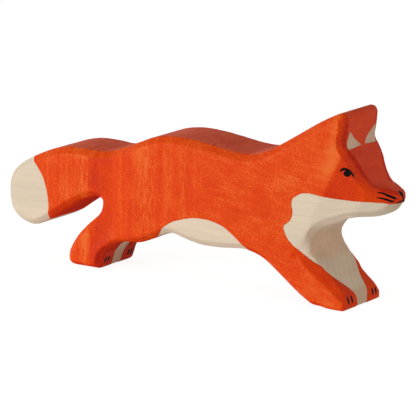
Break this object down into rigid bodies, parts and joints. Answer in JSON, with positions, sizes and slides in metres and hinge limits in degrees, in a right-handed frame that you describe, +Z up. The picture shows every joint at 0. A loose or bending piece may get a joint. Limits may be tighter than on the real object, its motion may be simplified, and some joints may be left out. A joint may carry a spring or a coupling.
{
  "type": "fox figurine",
  "caption": "Running fox figurine sawn from a wooden plank, with bevelled edges, sanded cheeks, an orange glaze and black brush marks; it stands on flat paws.",
  "frame": {"origin": "on the ground under the middle of the fox's length, in the middle of the plank's thickness", "axes": "+X to the snout, +Y to the fox's left side, +Z up"},
  "size_m": [0.1678, 0.0252, 0.0711],
  "materials": {
    "bare_wood": "sanded pale maple, rubbed with a thin matt oil",
    "orange_glaze": "translucent orange-red glaze brushed on the wood, matt",
    "black_paint": "black brush strokes, matt"
  },
  "bodies": {
    "root": {"wood_body": "bare_wood", "orange_glaze": "orange_glaze", "nose_and_mouth": "black_paint", "right_eye": "black_paint", "left_eye": "black_paint", "right_whiskers": "black_paint", "left_whiskers": "black_paint", "right_front_claws": "black_paint", "left_front_claws": "black_paint", "right_rear_claws": "black_paint", "left_rear_claws": "black_paint"}
  },
  "joints": []
}
